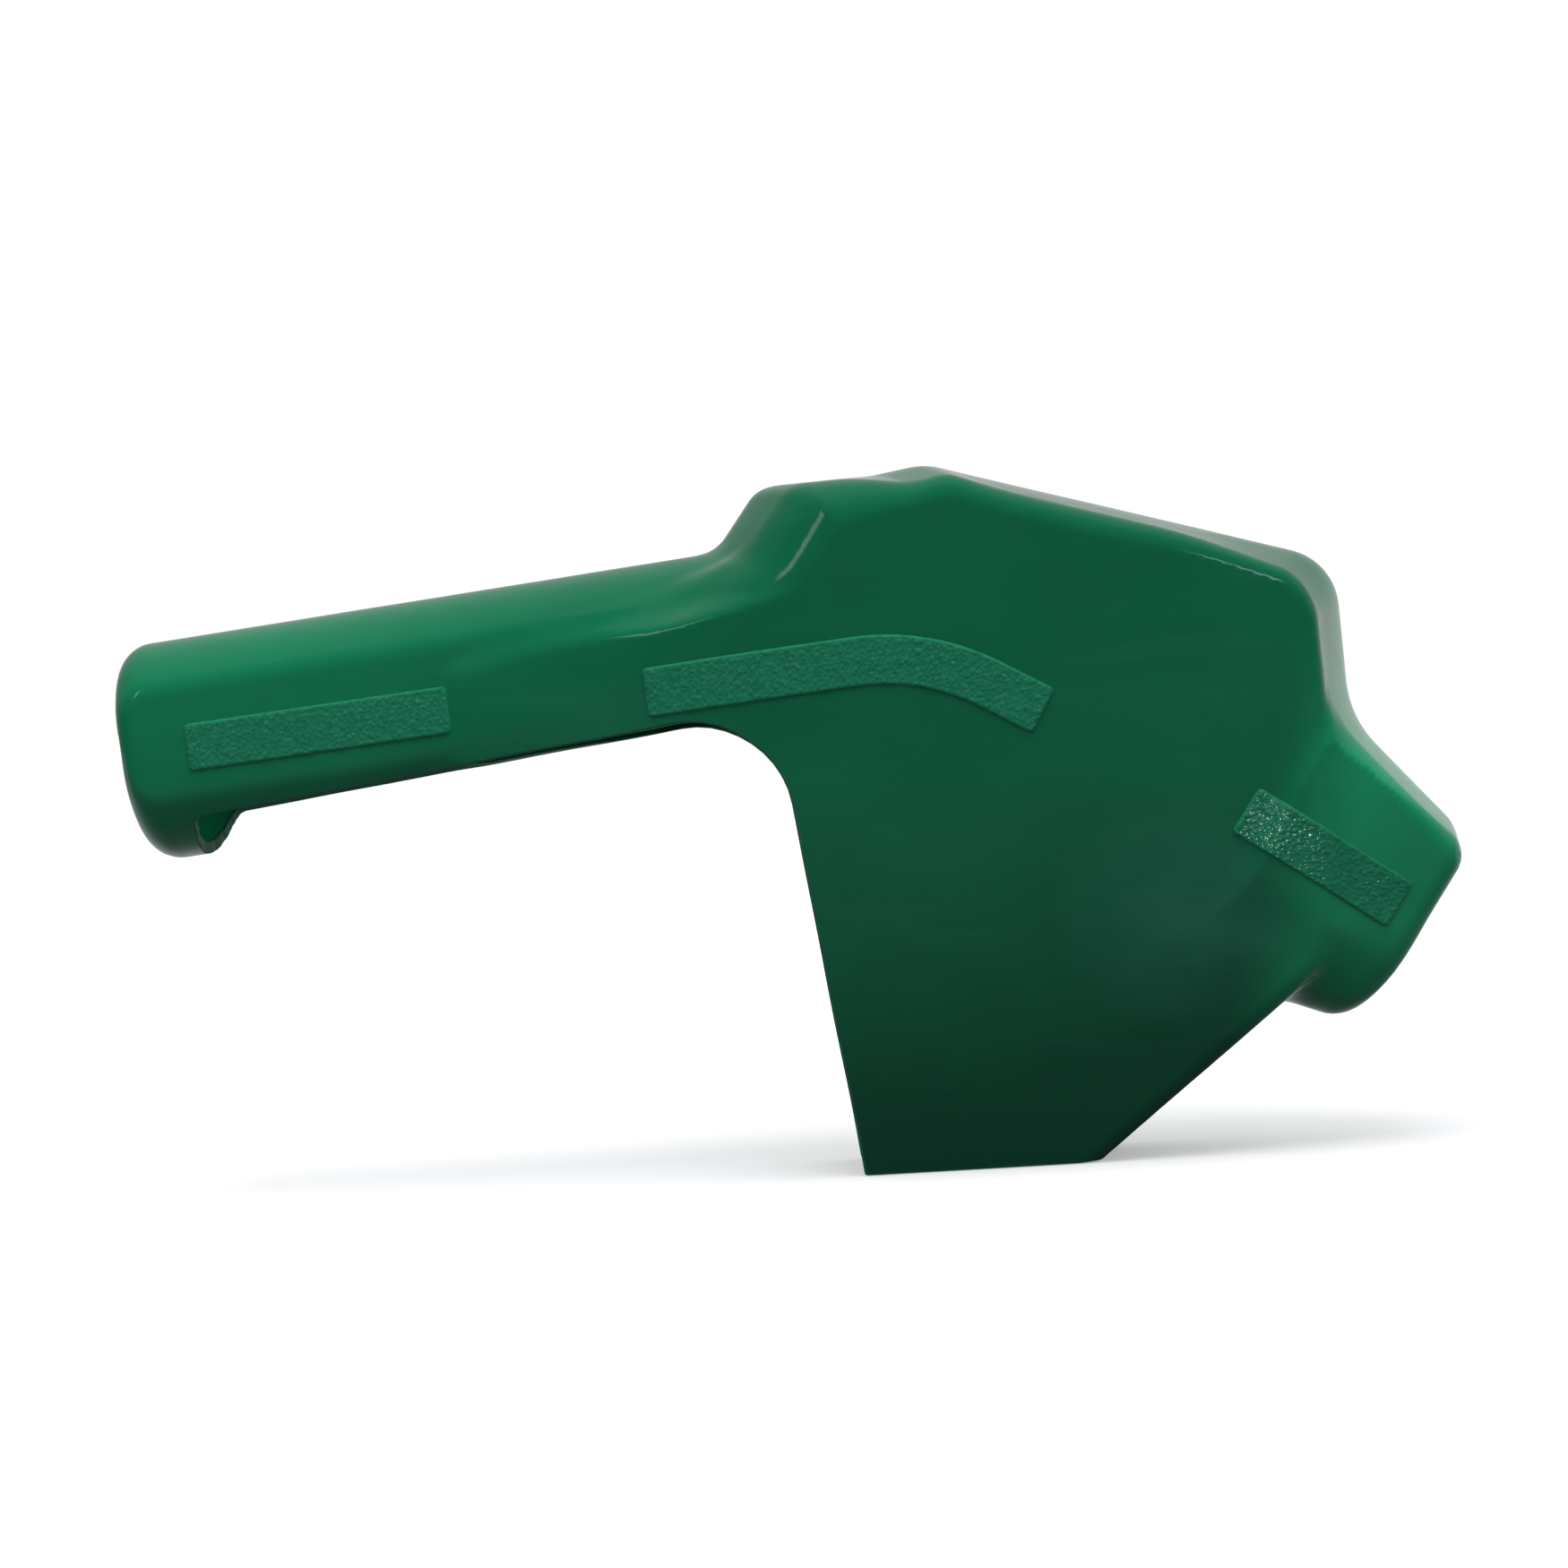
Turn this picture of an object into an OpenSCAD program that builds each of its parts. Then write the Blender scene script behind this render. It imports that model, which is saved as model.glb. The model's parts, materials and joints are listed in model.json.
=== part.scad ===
// Scuff guard of a fuel nozzle: a one-piece dip-moulded vinyl jacket, with pebbled grip strips
// bonded to its sides. The nozzle slides in from below and behind. A ring holds the guard to the
// hose end of the nozzle's handle, and the spout leaves through the opening in the collar.
//
// Frame: the origin is the centre of the hose opening, on the guard's end face. +X runs level
// towards the spout, +Z is up when the guard stands on the skirt's lower edge, and Y = 0 is the
// plane of symmetry. A point of the side profile is written [x, z].

/* [Wall] */
// Thickness of the vinyl
wall = 2.8; // [2.2:0.1:3.4]
// Thickness of a grip strip
strip_t = 0.6; // [0.4:0.1:1]

/* [Grip] */
// Outer radius of the grip and of the hose-end ring
grip_r = 23; // [22:0.5:25]
// Angle by which the grip rises towards the body
grip_tilt = 5.8; // [4:0.2:8]
// Length of the closed ring at the hose end, along its underside
ring_len = 14.5; // [10:0.5:18]
// Radius of the opening for the hose
hose_r = 17.5; // [15:0.25:18]
// Width of the slot along the underside of the grip
slot_w = 27; // [22:1:28]
// Half of the grip's width across its flat sides
grip_hw = 20.3; // [19.5:0.1:21.5]

/* [Body] */
// Half of the body's width
body_hw = 29; // [28:0.5:31]
// Height of the skirt's lower edge, below the origin
skirt_z = -96; // [-100:1:-92]
// Half of the skirt's width at its lower edge
skirt_hw = 14; // [13:0.5:17]
// Height at which the skirt starts to narrow towards its lower edge
knee_z = -21; // [-30:1:-15]

/* [Spout collar] */
// Angle of the collar's axis below the level
spout_drop = 35; // [32:0.5:38]
// Radius of the collar at its end face
collar_r = 23.8; // [22:0.2:25]
// Radius of the opening for the spout
spout_r = 16; // [14:0.25:17]

/* [Hidden] */

VINYL = "#0f6b46";
PEBBLE = "#2c6f55";
FAR = 400;              // reaches past the whole guard
PUCK_FN = 28;           // facets of the rounded bodies

grip_len = 150;         // from the end face to a point inside the body
side_len = 126;         // from the end face to where the grip's lower edge meets the skirt
side_drop = [16, 12.1]; // the grip's lower edge below its axis, at the end face and at side_len
slot_end_r = 4;         // corner radius of the slot at the hose end
end_edge_r = 7;         // rounding of the hose end's outer edge
edge_r = 8;             // rounding of the body's top and front edges
fold_r = 4;             // rounding of the skirt's front edges
bend_z = -58;           // the skirt narrows slowly down to here, and faster below
bend_part = 0.3;        // part of the narrowing done above bend_z

spout_c = [265.9, -51.4]; // centre of the collar's end face
collar_len = 40;        // from the end face back into the body
collar_taper = 14;      // half of the collar's cone angle
collar_edge_r = 5;      // rounding of the collar's outer edge
collar_corner_r = 6;    // corners between the collar's flat top and its sides
collar_square = 0.91;   // half width between those corners, as a part of the collar's radius
collar_crown = 4;       // drop of its top from the middle line to the corners

cap_z = 26.5;           // axis of the hump over the valve cap
cap_r = 22;             // radius of the hump
cap_x = 124;            // rear end of the hump
cap_len = 42;           // length of the hump
cap_tilt = 2.5;         // rise of the hump's axis towards the body
cap_rise = 12.5;        // height of the hump's rear slope
cap_slope = 51;         // angle of the hump's rear slope
cap_edge_r = 4;         // rounding at the top of that slope

throat_r = 21;          // fillet between the slot and the skirt's rear edge
rear_top = [137.9, -18.4];  // two points of the skirt's rear edge
rear_foot = [148.6, -96];

// Half of the body's width at a height, where the skirt narrows downwards in two stages.
function hw_at(z) =
  let (bend_hw = body_hw - bend_part * (body_hw - skirt_hw))
  z > bend_z
    ? min(body_hw, bend_hw + (body_hw - bend_hw) * (z - bend_z) / (knee_z - bend_z))
    : skirt_hw + (bend_hw - skirt_hw) * (z - skirt_z) / (bend_z - skirt_z);

// Points of a round corner about c, from angle a to angle b.
function arc(c, r, a, b, steps = 6) =
  [for (i = [0:steps]) c + r * [cos(a + (b - a) * i / steps), sin(a + (b - a) * i / steps)]];

// A disc across the guard at [x, z], hw to each side, with corner radius r and edge rounding e.
module puck(at, hw, r, e) {
  translate([at[0], 0, at[1]])
    rotate([90, 0, 0])
      rotate_extrude($fn = PUCK_FN)
        polygon(concat(
          [[0, -hw]], arc([r - e, -hw + e], e, -90, 0), arc([r - e, hw - e], e, 0, 90), [[0, hw]]));
}

// Pucks at a list of [x, z] points, drawn in by t. A negative t makes them larger.
module pucks(points, r, t) {
  for (p = points) puck(p, hw_at(p[1]) - t, r - t, r - t);
}

// Everything in the grip's own frame: +Z along its axis, +Y up, origin at the hose opening.
module on_grip() {
  rotate([0, 90 - grip_tilt, 0]) rotate([0, 0, 90]) children();
}

// The grip, drawn in by t: a round bar with a rounded end and flat sides.
module grip_solid(t) {
  r = grip_r - t;
  e = end_edge_r - t;
  on_grip() intersection() {
    translate([0, 0, t])
      rotate_extrude($fn = 96)
        polygon(concat([[0, 0]], arc([r - e, e], e, -90, 0), [[r, grip_len], [0, grip_len]]));
    translate([t - grip_hw, -FAR / 2, 0]) cube([2 * (grip_hw - t), FAR, FAR]);
  }
}

// The body and skirt as one solid, drawn in by t.
module body_solid(t) {
  hull() {
    pucks([[140, 24], [152, 37], [165.5, 41.2], [178, 39.8], [240.5, 19.2], [243.2, 15]], edge_r, t);
    pucks([[247, knee_z], [136, knee_z], [140, bend_z]], edge_r, t);
    pucks([[243.6, -53], [237.6, bend_z], [182.4, -103.6], [140, -103.4]], fold_r, t);
  }
}

// The flank that widens from the grip to the body, drawn in by t.
module flank_solid(t) {
  hull() {
    for (z = [10, -6]) puck([84, z], grip_hw - 0.4 - t, edge_r - 2 - t, edge_r - 2 - t);
    for (z = [17, -30]) puck([134, z], hw_at(z) - 0.3 - t, edge_r - t, edge_r - t);
  }
}

// The hump over the nozzle's valve cap, drawn in by t.
module cap_solid(t) {
  r = cap_r - t;
  e = cap_edge_r;
  run = e * sin(cap_slope) + (cap_rise - e + e * cos(cap_slope)) / tan(cap_slope);
  translate([cap_x + t, 0, cap_z]) rotate([0, 90 - cap_tilt, 0])
    rotate_extrude($fn = 72)
      polygon(concat([[0, 0], [r - cap_rise, 0]], arc([r - e, run], e, -cap_slope, 0, 4),
        [[r, cap_len], [0, cap_len]]));
}

// Everything in the collar's own frame: +Z out of the spout opening, origin at its centre.
module on_collar() {
  translate([spout_c[0], 0, spout_c[1]]) rotate([0, 90 + spout_drop, 0]) children();
}

// The circles that span the collar's section, drawn in by t: round below, with two corners above (-X).
module collar_section(r, t) {
  c = collar_corner_r;
  linear_extrude(0.01) {
    circle(r - t, $fn = 96);
    for (side = [-1, 1])
      translate([c + collar_crown - r, side * (collar_square * r - c)]) circle(c - t, $fn = 32);
  }
}

// The flared collar, drawn in by t. Its root stays within the width of the body.
module collar_solid(t) {
  e = collar_edge_r - t;
  intersection() {
    on_collar() hull() {
      for (a = [0:22.5:90])
        translate([0, 0, e * sin(a) - collar_edge_r - 0.01]) collar_section(collar_r, t + e * (1 - cos(a)));
      translate([0, 0, -collar_len]) collar_section(collar_r + collar_len * tan(collar_taper), t);
    }
    cube([FAR * 2, 2 * (body_hw - 1.5 - t), FAR * 2], center = true);
  }
}

// The whole outer shape as one solid, drawn in by t.
module outer_solid(t) {
  grip_solid(t);
  flank_solid(t);
  cap_solid(t);
  body_solid(t);
  collar_solid(t);
}

// The slot under the grip, the open rear of the skirt, and everything below the skirt.
module underside_cut() {
  on_grip() grip_slot();
  rotate([90, 0, 0]) linear_extrude(FAR, center = true) throat_profile();
  translate([-FAR / 2, -FAR / 2, skirt_z - FAR]) cube([2 * FAR, FAR, FAR]);
}

// The slot's outline seen from below, with round corners at the hose end.
module grip_slot() {
  corner_x = slot_w / 2 - slot_end_r;
  rotate([90, 0, 0]) linear_extrude(FAR) translate([0, ring_len]) {
    for (x = [-corner_x, corner_x]) translate([x, slot_end_r]) circle(slot_end_r, $fn = 48);
    translate([-corner_x, 0]) square([2 * corner_x, slot_end_r]);
    translate([-slot_w / 2, slot_end_r]) square([slot_w, 90]);
  }
}

// A point of the side profile at length l along the grip, and drop below its axis.
function under_grip(l, drop) =
  [l * cos(grip_tilt) + drop * sin(grip_tilt), l * sin(grip_tilt) - drop * cos(grip_tilt)];

// Side profile of the opening behind the skirt, with its upper corner rounded by throat_r.
module throat_profile() {
  low = under_grip(0, side_drop[0] + 0.3);
  high = under_grip(side_len, side_drop[1] + 0.3);
  u = (high - low) / norm(high - low);                      // along the slot's edge
  n = [-u[1], u[0]];                                        // up from the slot's edge
  v = (rear_foot - rear_top) / norm(rear_foot - rear_top);  // down the rear edge
  m = [v[1], -v[0]];                                        // back from the rear edge
  k = (n * (rear_top + throat_r * m - low) + throat_r) / -(n * v);
  c = rear_top + throat_r * m + k * v;                      // centre of the round corner
  start = under_grip(ring_len + slot_end_r, side_drop[0]);
  polygon(concat(
    [start, start - 120 * n, rear_foot + 30 * v],
    arc(c, throat_r, atan2(-m[1], -m[0]), atan2(n[1], n[0]), 12)));
}

module guard_body() {
  color(VINYL) difference() {
    outer_solid(0);
    outer_solid(wall);
    underside_cut();
    on_grip() translate([0, 0, -4]) cylinder(r = hose_r, h = wall + 8, $fn = 96);
    on_collar() translate([0, 0, -wall - 4]) cylinder(r = spout_r, h = wall + 8, $fn = 96);
  }
}

// A strip of pebbled vinyl that follows the guard's left side (-Y) inside a side profile.
module strip_left() {
  color(PEBBLE) difference() {
    intersection() {
      outer_solid(-strip_t);
      rotate([90, 0, 0]) linear_extrude(FAR) children();
    }
    outer_solid(0);
  }
}

// A straight strip from a to b.
module straight_strip(a, b, w) {
  d = (b - a) / norm(b - a);
  n = [-d[1], d[0]] * w / 2;
  polygon([a - n, b - n, b + n, a + n]);
}

module grip_strip() straight_strip([14.5, 0.4], [69, 5.2], 10.2);

// The strip on the flank runs level with the grip, then bends down towards the collar.
module flank_strip() {
  w = 10.5;
  bend_c = [156, -36];
  bend_r = 46;
  from = 95;
  to = 60;
  inner = arc(bend_c, bend_r - w / 2, from, to, 10);
  outer = arc(bend_c, bend_r + w / 2, to, from, 10);
  tail = [sin(to), -cos(to)] * 12.5;
  head = [-sin(from), cos(from)] * 43;
  polygon(concat([outer[10] + head, inner[0] + head], inner, [inner[10] + tail, outer[0] + tail], outer));
}

module collar_strip() straight_strip([229.2, -24.4], [260.7, -46.1], 11);

guard_body();
strip_left() grip_strip();  // grip_strip_left
strip_left() flank_strip();  // flank_strip_left
strip_left() collar_strip();  // collar_strip_left
mirror([0, 1, 0]) strip_left() grip_strip();  // grip_strip_right
mirror([0, 1, 0]) strip_left() flank_strip();  // flank_strip_right
mirror([0, 1, 0]) strip_left() collar_strip();  // collar_strip_right
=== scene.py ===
"""Looks of the fuel nozzle's scuff guard: a glossy dip-moulded vinyl jacket with pebbled grip strips.

The guard's outer skin is a smooth blend of a grip, a body with a shoulder over the valve cap, and a spout
collar, written as signed distances in millimetres. The skin is meshed, trimmed along the openings' cut
edges, and given its thickness. The strips are finer meshes laid on that skin, with their grain in the
geometry.
"""

import json
import math

import bpy
import numpy as np
from mathutils import Matrix, Vector


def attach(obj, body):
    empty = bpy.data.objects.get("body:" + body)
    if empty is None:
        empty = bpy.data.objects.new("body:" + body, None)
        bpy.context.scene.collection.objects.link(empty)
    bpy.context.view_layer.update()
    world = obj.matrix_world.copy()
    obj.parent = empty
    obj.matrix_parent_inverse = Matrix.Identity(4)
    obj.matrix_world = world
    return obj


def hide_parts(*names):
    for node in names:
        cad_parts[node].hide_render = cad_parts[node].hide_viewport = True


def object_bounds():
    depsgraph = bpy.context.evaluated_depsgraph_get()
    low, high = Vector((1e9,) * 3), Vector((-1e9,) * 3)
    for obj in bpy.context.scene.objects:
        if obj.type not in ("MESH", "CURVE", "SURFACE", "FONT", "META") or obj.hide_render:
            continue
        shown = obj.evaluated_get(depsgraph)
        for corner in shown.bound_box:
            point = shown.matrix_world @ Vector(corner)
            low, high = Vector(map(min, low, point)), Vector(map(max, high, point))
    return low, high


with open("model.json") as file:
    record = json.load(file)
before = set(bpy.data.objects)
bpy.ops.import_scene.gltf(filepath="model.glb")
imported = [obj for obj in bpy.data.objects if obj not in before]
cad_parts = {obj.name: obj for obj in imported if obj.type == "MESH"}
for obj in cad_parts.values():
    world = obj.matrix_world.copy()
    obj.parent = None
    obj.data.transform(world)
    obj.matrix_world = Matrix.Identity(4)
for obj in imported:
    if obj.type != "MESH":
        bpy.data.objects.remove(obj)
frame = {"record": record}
cad_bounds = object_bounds()
record = frame["record"]

# ---------------------------------------------------------------- driving dimensions, in millimetres
MM = 0.001
WALL = 2.8                      # thickness of the vinyl
LIP = 0.5                       # rounding of the cut edges' lips
CELL = 1.25                     # size of the skin's mesh cells
SKIN_BOX = ((-5, -33, -101), (283, 33, 56))     # the box that is searched for the skin

GRIP_R = 23.0                   # radius of the round top of the grip
GRIP_TILT = math.radians(5.8)   # the grip rises towards the body
END_EDGE_R = 7.0                # rounding of the hose end
GRIP_HALF = 20.5                # half width across the grip's flat sides
GRIP_LEAN = 0.03                # they lean in above the axis
SIDE_EDGE_R = 4.5               # rounding of the hose end along the flat sides
GRIP_LEN = 150.0                # the grip ends inside the body
GRIP_BLEND = (3.0, 6.0)         # fillet between grip and body, on top and at the sides
SIDE_DROP = (16.2, 12.2)        # the grip's lower edge below its axis, at the end face and at SIDE_LEN
SIDE_LEN = 126.0
SLOT_FROM = 12.2                # where the slot starts, along the grip's underside
SLOT_SKEW = 0.07                # its end is cut a little askew across the grip
SLOT_LEAN = 0.35                # and leans forward going up

BODY_HALF = 29.0                # half of the body's width
FLANK_X = (80.0, 136.0)         # over this stretch the sides widen from the grip to the body
FLANK_HALF = 19.5               # half width where that stretch starts
DRAFT_Z = 15.0                  # the sides lean in a little below this height
DRAFT = 0.02
KNEE_Z = -18.0                  # the skirt starts to narrow here, more and more towards its edge
KNEE_FLARE = 0.06
KNEE_SOFT = 8.0                 # height over which that sets in
SKIRT_CURVE = 0.0026            # growth of the narrowing per millimetre
SKIRT_Z = -96.0                 # the skirt's lower edge
TOP_CROWN = 0.225               # slopes of the body's top and front from their middle line to the sides
SHOULDER_CROWN = 0.45           # part of that slope that the shoulder's top has
FRONT_CROWN = 0.44
CROWN_SOFT = 5.0
BODY_EDGE_R = 4.4               # rounding of the edges between the body's top, front and sides
SKIRT_EDGE = 0.9                # how much less it is on the skirt,
FRONT_EDGE = 1.6                # how much less on the front wall,
SHOULDER_EDGE = 6.0             # and how much more on the shoulder
SIDE_SLOPE = 0.985              # cosine of the sides' usual slope

# Side profile of the body and skirt: corners (x, z, fillet radius), clockwise from the shoulder's rear.
# The rear and lower corners lie beyond the cut edges.
BODY_PROFILE = [
    (70.0, 15.0, 6.0), (87.0, 21.0, 12.0), (109.0, 25.0, 12.0), (123.8, 34.6, 8.0), (134.4, 48.9, 7.0),
    (158.0, 50.0, 12.0), (169.7, 51.95, 14.0), (255.5, 26.7, 13.0), (257.5, -20.0, 12.0),
    (255.4, -48.8, 8.0), (191.4, -101.2, 4.0), (183.0, -115.0, 4.0), (70.0, -115.0, 4.0),
]

REAR_SWEEP = 0.46               # slope at which the shoulder's rear is swept back from its middle line

SPOUT_C = (265.9, -51.4)        # centre of the collar's end face
SPOUT_DROP = math.radians(35.0)
COLLAR_R = 23.3
COLLAR_TAPER = math.radians(14.0)
COLLAR_EDGE_R = 5.0
COLLAR_CROWN = 0.33             # slope of its flattened top from the middle line to the sides
COLLAR_CORNER = (4.5, 1.8)      # corner radius between top and sides, at the end face and at the root
COLLAR_LEN = 40.0
COLLAR_SQUARE = (0.90, 0.04)    # half width of its top in radii, at the end face, and what the root adds
COLLAR_PROUD = 1.2              # its sides stand this far out from the skirt's above, and in below
COLLAR_SIDE_R = 8.0             # rounding where the skirt's sides limit it
COLLAR_BLEND = 5.0              # fillet between collar and body

REAR_TOP = (137.9, -18.4)       # two points of the skirt's rear edge
REAR_FOOT = (148.6, -96.0)
THROAT_R = 21.0


# ---------------------------------------------------------------- signed distances
def round_max(a, b, r):
    """Intersection of two solids, with the edge between them rounded by r."""
    return np.hypot(np.maximum(a + r, 0), np.maximum(b + r, 0)) + np.minimum(np.maximum(a, b), -r)


def blend_min(a, b, k):
    """Union of two solids, with the crease between them filled over a width k."""
    h = np.maximum(k - np.abs(a - b), 0) / k
    return np.minimum(a, b) - h * h * k * 0.25


def cross(a, b):
    return a[0] * b[1] - a[1] * b[0]


def smoothstep(lo, hi, x):
    t = np.clip((x - lo) / (hi - lo), 0, 1)
    return t * t * (3 - 2 * t)


def filleted(corners, steps=10):
    """The points of a closed outline whose corners (x, z, r) are rounded by arcs of radius r."""
    points = []
    n = len(corners)
    for i, (x, z, r) in enumerate(corners):
        here = np.array((x, z))
        back = np.array(corners[i - 1][:2]) - here
        ahead = np.array(corners[(i + 1) % n][:2]) - here
        back /= np.linalg.norm(back)
        ahead /= np.linalg.norm(ahead)
        half = 0.5 * math.acos(np.clip(back @ ahead, -1, 1))
        to_centre = (back + ahead) / np.linalg.norm(back + ahead)
        centre = here + to_centre * r / math.sin(half)
        start = here + back * r / math.tan(half) - centre
        turn = math.pi - 2 * half
        side = math.copysign(1, cross(ahead, back))
        for k in range(steps + 1):
            a = side * turn * k / steps
            c, s = math.cos(a), math.sin(a)
            points.append(centre + (start[0] * c - start[1] * s, start[0] * s + start[1] * c))
    return np.array(points)


def outline_distance(outline, x, z):
    """Signed distance of the points (x, z) to a closed outline, negative inside."""
    best = np.full(x.shape, 1e9)
    inside = np.zeros(x.shape, bool)
    for a, b in zip(outline, np.roll(outline, -1, axis=0)):
        ex, ez = b - a
        length2 = ex * ex + ez * ez
        if length2 < 1e-12:
            continue
        px, pz = x - a[0], z - a[1]
        t = np.clip((px * ex + pz * ez) / length2, 0, 1)
        best = np.minimum(best, (px - t * ex) ** 2 + (pz - t * ez) ** 2)
        if a[1] != b[1]:
            crosses = ((a[1] > z) != (b[1] > z)) & (x < ex * (z - a[1]) / ez + a[0])
            inside ^= crosses
    return np.where(inside, -1, 1) * np.sqrt(best)


class Profile:
    """Distances to an outline, sampled once on a fine grid and then interpolated."""

    STEP = 0.5

    def __init__(self, outline, lo, hi):
        self.lo = lo
        self.n = [int((b - a) / self.STEP) + 2 for a, b in zip(lo, hi)]
        xs = lo[0] + self.STEP * np.arange(self.n[0])
        zs = lo[1] + self.STEP * np.arange(self.n[1])
        gx, gz = np.meshgrid(xs, zs, indexing="ij")
        self.values = outline_distance(outline, gx, gz)

    def __call__(self, x, z):
        u = np.clip((x - self.lo[0]) / self.STEP, 0, self.n[0] - 1.001)
        v = np.clip((z - self.lo[1]) / self.STEP, 0, self.n[1] - 1.001)
        i, j = u.astype(int), v.astype(int)
        u, v = u - i, v - j
        g = self.values
        low = g[i, j] * (1 - u) + g[i + 1, j] * u
        high = g[i, j + 1] * (1 - u) + g[i + 1, j + 1] * u
        return low * (1 - v) + high * v


body_profile = Profile(filleted(BODY_PROFILE), (-12, -126), (292, 62))


def along_grip(x, z):
    """Length along the grip's axis and height above it."""
    c, s = math.cos(GRIP_TILT), math.sin(GRIP_TILT)
    return x * c + z * s, z * c - x * s


def side_drop(s):
    return SIDE_DROP[0] + (SIDE_DROP[1] - SIDE_DROP[0]) * s / SIDE_LEN


def grip_distance(x, y, z):
    s, h = along_grip(x, z)
    bar = round_max(np.hypot(y, h) - GRIP_R, -s, END_EDGE_R)
    sides = round_max(y - GRIP_HALF + GRIP_LEAN * (h + np.hypot(h, 6)), -s, SIDE_EDGE_R)
    return round_max(round_max(bar, sides, 0.8), s - GRIP_LEN, 3.0)


def body_half(x, z):
    """Half width of the body at a point of its side profile."""
    flank = FLANK_HALF + (BODY_HALF - FLANK_HALF) * smoothstep(*FLANK_X, x)
    below = np.maximum(KNEE_Z + KNEE_SOFT / 2 - z, 0)
    eased = np.where(below < KNEE_SOFT, below * below / (2 * KNEE_SOFT), below - KNEE_SOFT / 2)
    curve = SKIRT_CURVE / 2 * np.maximum(KNEE_Z - z, 0) ** 2
    return flank - DRAFT * np.maximum(DRAFT_Z - z, 0) - KNEE_FLARE * eased - curve


def body_distance(x, y, z):
    side = (y - body_half(x, z)) * SIDE_SLOPE
    shoulder = smoothstep(168, 148, x) * smoothstep(16, 26, z)
    edge = BODY_EDGE_R - SKIRT_EDGE * smoothstep(-30, -60, z) + SHOULDER_EDGE * shoulder
    edge = edge - FRONT_EDGE * smoothstep(205, 240, x) * smoothstep(-60, -40, z)
    crown = np.hypot(y, CROWN_SOFT) - CROWN_SOFT
    front = FRONT_CROWN * smoothstep(215, 250, x) * smoothstep(-62, -45, z)
    past_shoulder = smoothstep(150, 170, x)
    top = TOP_CROWN * smoothstep(-10, 20, z) * (SHOULDER_CROWN + (1 - SHOULDER_CROWN) * past_shoulder)
    sweep = REAR_SWEEP * crown * smoothstep(190, 150, x) * smoothstep(12, 26, z)
    return round_max(body_profile(x + front * crown - sweep, z + top * crown), side, edge)


def collar_distance(x, y, z):
    c, s = math.cos(SPOUT_DROP), math.sin(SPOUT_DROP)
    out = (x - SPOUT_C[0]) * c - (z - SPOUT_C[1]) * s
    up = (x - SPOUT_C[0]) * s + (z - SPOUT_C[1]) * c
    upper = smoothstep(-22, -8, up)
    radius = COLLAR_R - out * math.tan(COLLAR_TAPER)
    rooted = smoothstep(0, -24, out)
    crown = COLLAR_CROWN * (np.hypot(y, CROWN_SOFT) - CROWN_SOFT)
    corner = COLLAR_CORNER[0] + (COLLAR_CORNER[1] - COLLAR_CORNER[0]) * rooted
    half = (COLLAR_SQUARE[0] + COLLAR_SQUARE[1] * rooted) * radius
    square = round_max(up + crown - radius, y - half, corner)
    circle = np.hypot(y, up) - radius
    cone = (circle + (square - circle) * smoothstep(-14, 4, up)) * math.cos(COLLAR_TAPER)
    tube = round_max(cone, out, COLLAR_EDGE_R)
    tube = np.maximum(tube, -out - COLLAR_LEN)
    side = y - body_half(x, z) - COLLAR_PROUD * upper + COLLAR_PROUD * (1 - upper)
    return round_max(tube, side, COLLAR_SIDE_R)


def skin(p):
    """Signed distance of points p (n, 3), in millimetres, to the guard's outer skin."""
    x, y, z = p[:, 0], np.abs(p[:, 1]), p[:, 2]
    width = GRIP_BLEND[0] + (GRIP_BLEND[1] - GRIP_BLEND[0]) * smoothstep(12, 18, y)
    d = blend_min(grip_distance(x, y, z), body_distance(x, y, z), width)
    d = blend_min(d, collar_distance(x, y, z), COLLAR_BLEND)
    return d + waves(p)


def waves(p):
    """Slow unevenness of a dip-moulded wall, a few hundredths to tenths of a millimetre."""
    x, y, z = p[:, 0], p[:, 1], p[:, 2]
    low = np.sin(x / 17.0 + 0.9 * np.sin(z / 23.0)) * np.sin(z / 19.0 + 1.3 + 0.5 * np.sin(x / 31.0))
    fine = np.sin(x / 6.1 + z / 9.3 + y / 7.0) * np.sin(z / 7.7 - x / 12.1 + 2.0)
    skirt = smoothstep(0, -40, z) * smoothstep(130, 150, x)
    return 0.05 * low * (1 + 4 * skirt) + 0.015 * fine


def gradient(f, p, step=0.25):
    g = np.empty_like(p)
    for axis in range(3):
        e = np.zeros(3)
        e[axis] = step
        g[:, axis] = f(p + e) - f(p - e)
    return g / (2 * step)


def unit(v):
    return v / np.maximum(np.linalg.norm(v, axis=1, keepdims=True), 1e-12)


# ---------------------------------------------------------------- cut edges
def throat_outline():
    """Outline of the opening behind the skirt and under the grip, in the plane of symmetry."""
    def under(s, drop):
        c, t = math.cos(GRIP_TILT), math.sin(GRIP_TILT)
        return np.array((s * c + drop * t, s * t - drop * c))

    low, high = under(0, SIDE_DROP[0] - 0.4), under(SIDE_LEN, SIDE_DROP[1] - 0.4)
    u = (high - low) / np.linalg.norm(high - low)
    n = np.array((-u[1], u[0]))
    v = np.subtract(REAR_FOOT, REAR_TOP)
    v /= np.linalg.norm(v)
    corner = low + u * cross(REAR_TOP - low, v) / cross(u, v)
    start = under(SLOT_FROM + 8, SIDE_DROP[0] + 100)    # well below everything
    return [
        (*start, 1.0), (*(start + n * ((low - start) @ n)), 1.0), (*corner, THROAT_R),
        (*(np.array(REAR_FOOT) + v * 30), 1.0),
    ]


throat_profile = Profile(filleted(throat_outline()), (-12, -140), (292, 62))


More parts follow.
